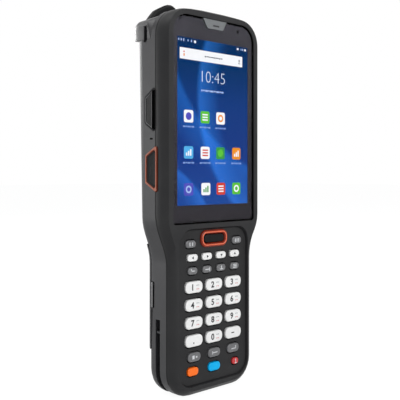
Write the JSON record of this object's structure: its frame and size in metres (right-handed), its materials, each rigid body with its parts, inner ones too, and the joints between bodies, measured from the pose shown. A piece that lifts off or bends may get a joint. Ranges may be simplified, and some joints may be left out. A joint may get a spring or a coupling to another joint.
{
  "type": "portable barcode data terminal",
  "caption": "Rugged hand-held data terminal with a touch display over a sprung keypad, side scan triggers, a volume rocker, a removable battery and a scan window in its top end",
  "frame": {"origin": "centre of the footprint, on the plane of the end face that the device stands on", "axes": "+Z along the device towards the scan head, -Y out of the display, +X to the right as the display is read"},
  "size_m": [0.0724, 0.0274, 0.2078],
  "materials": {
    "shell": "satin charcoal plastic",
    "cover_glass": "clear touch glass with a dark border",
    "display": "lit display",
    "grille": "grey mesh",
    "panel": "satin black plastic",
    "mat": "silicone sheet",
    "board": "circuit board",
    "steel": "stamped steel",
    "screw_steel": "blackened steel",
    "engine": "black plastic",
    "black_rubber": "black rubber",
    "black_gloss": "glossy black",
    "scan_glass": "dark red window",
    "orange_trim": "orange plastic",
    "contact_gold": "gold plate",
    "white_key": "white plastic",
    "grey_key": "grey plastic",
    "orange_key": "orange plastic",
    "blue_key": "blue plastic",
    "red_key": "red plastic"
  },
  "bodies": {
    "case": {"front_housing": "shell", "rear_housing": "shell", "scan_head_cover": "shell", "battery_pack": "shell", "touch_glass": "cover_glass", "display_module": "display", "earpiece_grille": "grille", "front_camera": "black_rubber", "keypad_panel": "panel", "scan_key_ring": "orange_trim", "keypad_mat": "mat", "keypad_board": "board", "chassis_plate": "steel", "main_board": "board", "scan_bezel": "black_rubber", "scan_window": "scan_glass", "scan_engine": "engine", "trigger_frames": "orange_trim", "side_key_bracket": "steel", "port_frame": "black_rubber", "usb_socket": "steel", "housing_screws": "screw_steel", "loudspeaker": "engine", "charging_contacts": "contact_gold", "rear_camera": "black_gloss"},
    "key_scan": {"key_scan": "black_rubber"},
    "key_f1": {"key_f1": "grey_key"},
    "key_f2": {"key_f2": "grey_key"},
    "key_up": {"key_up": "white_key"},
    "key_down": {"key_down": "white_key"},
    "key_left": {"key_left": "white_key"},
    "key_right": {"key_right": "white_key"},
    "key_back": {"key_back": "grey_key"},
    "key_tab": {"key_tab": "grey_key"},
    "key_shift": {"key_shift": "grey_key"},
    "key_menu": {"key_menu": "grey_key"},
    "key_1": {"key_1": "white_key"},
    "key_2": {"key_2": "white_key"},
    "key_3": {"key_3": "white_key"},
    "key_4": {"key_4": "white_key"},
    "key_5": {"key_5": "white_key"},
    "key_6": {"key_6": "white_key"},
    "key_7": {"key_7": "white_key"},
    "key_8": {"key_8": "white_key"},
    "key_9": {"key_9": "white_key"},
    "key_dot": {"key_dot": "white_key"},
    "key_0": {"key_0": "white_key"},
    "key_dash": {"key_dash": "white_key"},
    "key_layout": {"key_layout": "grey_key"},
    "key_backspace": {"key_backspace": "grey_key"},
    "key_enter": {"key_enter": "grey_key"},
    "key_orange": {"key_orange": "orange_key"},
    "key_blue": {"key_blue": "blue_key"},
    "key_power": {"key_power": "red_key"},
    "battery_latch_left": {"battery_latch_left": "black_rubber"},
    "battery_latch_right": {"battery_latch_right": "black_rubber"},
    "scan_trigger_left": {"scan_trigger_left": "black_rubber"},
    "scan_trigger_right": {"scan_trigger_right": "black_rubber"},
    "volume_rocker": {"volume_rocker": "black_rubber"},
    "port_cover": {"port_cover": "black_rubber"}
  },
  "joints": [
    {"name": "key_scan_press", "type": "slide", "parent": "case", "child": "key_scan", "axis": [0, 1, 0], "range_m": [0, 0.0005], "stiffness_N_per_m": 600},
    {"name": "key_f1_press", "type": "slide", "parent": "case", "child": "key_f1", "axis": [0, 1, 0], "range_m": [0, 0.0005], "stiffness_N_per_m": 600},
    {"name": "key_f2_press", "type": "slide", "parent": "case", "child": "key_f2", "axis": [0, 1, 0], "range_m": [0, 0.0005], "stiffness_N_per_m": 600},
    {"name": "key_up_press", "type": "slide", "parent": "case", "child": "key_up", "axis": [0, 1, 0], "range_m": [0, 0.0005], "stiffness_N_per_m": 600},
    {"name": "key_down_press", "type": "slide", "parent": "case", "child": "key_down", "axis": [0, 1, 0], "range_m": [0, 0.0005], "stiffness_N_per_m": 600},
    {"name": "key_left_press", "type": "slide", "parent": "case", "child": "key_left", "axis": [0, 1, 0], "range_m": [0, 0.0005], "stiffness_N_per_m": 600},
    {"name": "key_right_press", "type": "slide", "parent": "case", "child": "key_right", "axis": [0, 1, 0], "range_m": [0, 0.0005], "stiffness_N_per_m": 600},
    {"name": "key_back_press", "type": "slide", "parent": "case", "child": "key_back", "axis": [0, 1, 0], "range_m": [0, 0.0005], "stiffness_N_per_m": 600},
    {"name": "key_tab_press", "type": "slide", "parent": "case", "child": "key_tab", "axis": [0, 1, 0], "range_m": [0, 0.0005], "stiffness_N_per_m": 600},
    {"name": "key_shift_press", "type": "slide", "parent": "case", "child": "key_shift", "axis": [0, 1, 0], "range_m": [0, 0.0005], "stiffness_N_per_m": 600},
    {"name": "key_menu_press", "type": "slide", "parent": "case", "child": "key_menu", "axis": [0, 1, 0], "range_m": [0, 0.0005], "stiffness_N_per_m": 600},
    {"name": "key_1_press", "type": "slide", "parent": "case", "child": "key_1", "axis": [0, 1, 0], "range_m": [0, 0.0005], "stiffness_N_per_m": 600},
    {"name": "key_2_press", "type": "slide", "parent": "case", "child": "key_2", "axis": [0, 1, 0], "range_m": [0, 0.0005], "stiffness_N_per_m": 600},
    {"name": "key_3_press", "type": "slide", "parent": "case", "child": "key_3", "axis": [0, 1, 0], "range_m": [0, 0.0005], "stiffness_N_per_m": 600},
    {"name": "key_4_press", "type": "slide", "parent": "case", "child": "key_4", "axis": [0, 1, 0], "range_m": [0, 0.0005], "stiffness_N_per_m": 600},
    {"name": "key_5_press", "type": "slide", "parent": "case", "child": "key_5", "axis": [0, 1, 0], "range_m": [0, 0.0005], "stiffness_N_per_m": 600},
    {"name": "key_6_press", "type": "slide", "parent": "case", "child": "key_6", "axis": [0, 1, 0], "range_m": [0, 0.0005], "stiffness_N_per_m": 600},
    {"name": "key_7_press", "type": "slide", "parent": "case", "child": "key_7", "axis": [0, 1, 0], "range_m": [0, 0.0005], "stiffness_N_per_m": 600},
    {"name": "key_8_press", "type": "slide", "parent": "case", "child": "key_8", "axis": [0, 1, 0], "range_m": [0, 0.0005], "stiffness_N_per_m": 600},
    {"name": "key_9_press", "type": "slide", "parent": "case", "child": "key_9", "axis": [0, 1, 0], "range_m": [0, 0.0005], "stiffness_N_per_m": 600},
    {"name": "key_dot_press", "type": "slide", "parent": "case", "child": "key_dot", "axis": [0, 1, 0], "range_m": [0, 0.0005], "stiffness_N_per_m": 600},
    {"name": "key_0_press", "type": "slide", "parent": "case", "child": "key_0", "axis": [0, 1, 0], "range_m": [0, 0.0005], "stiffness_N_per_m": 600},
    {"name": "key_dash_press", "type": "slide", "parent": "case", "child": "key_dash", "axis": [0, 1, 0], "range_m": [0, 0.0005], "stiffness_N_per_m": 600},
    {"name": "key_layout_press", "type": "slide", "parent": "case", "child": "key_layout", "axis": [0, 1, 0], "range_m": [0, 0.0005], "stiffness_N_per_m": 600},
    {"name": "key_backspace_press", "type": "slide", "parent": "case", "child": "key_backspace", "axis": [0, 1, 0], "range_m": [0, 0.0005], "stiffness_N_per_m": 600},
    {"name": "key_enter_press", "type": "slide", "parent": "case", "child": "key_enter", "axis": [0, 1, 0], "range_m": [0, 0.0005], "stiffness_N_per_m": 600},
    {"name": "key_orange_press", "type": "slide", "parent": "case", "child": "key_orange", "axis": [0, 1, 0], "range_m": [0, 0.0005], "stiffness_N_per_m": 600},
    {"name": "key_blue_press", "type": "slide", "parent": "case", "child": "key_blue", "axis": [0, 1, 0], "range_m": [0, 0.0005], "stiffness_N_per_m": 600},
    {"name": "key_power_press", "type": "slide", "parent": "case", "child": "key_power", "axis": [0, 1, 0], "range_m": [0, 0.0005], "stiffness_N_per_m": 600},
    {"name": "scan_trigger_left_press", "type": "slide", "parent": "case", "child": "scan_trigger_left", "axis": [1, 0, 0], "range_m": [0, 0.0006], "stiffness_N_per_m": 900},
    {"name": "battery_latch_left_press", "type": "slide", "parent": "case", "child": "battery_latch_left", "axis": [1, 0, 0], "range_m": [0, 0.001], "stiffness_N_per_m": 900},
    {"name": "scan_trigger_right_press", "type": "slide", "parent": "case", "child": "scan_trigger_right", "axis": [-1, 0, 0], "range_m": [0, 0.0006], "stiffness_N_per_m": 900},
    {"name": "battery_latch_right_press", "type": "slide", "parent": "case", "child": "battery_latch_right", "axis": [-1, 0, 0], "range_m": [0, 0.001], "stiffness_N_per_m": 900},
    {"name": "volume_rock", "type": "hinge", "parent": "case", "child": "volume_rocker", "pos_m": [-0.0313, -0.0022, 0.14883], "axis": [0, 1, 0], "range_deg": [-1.5, 1.5], "stiffness_Nm_per_rad": 0.5},
    {"name": "port_cover_hinge", "type": "hinge", "parent": "case", "child": "port_cover", "pos_m": [0.0349, -0.0047, 0.14133], "axis": [0, 1, 0], "range_deg": [0, 95]}
  ]
}
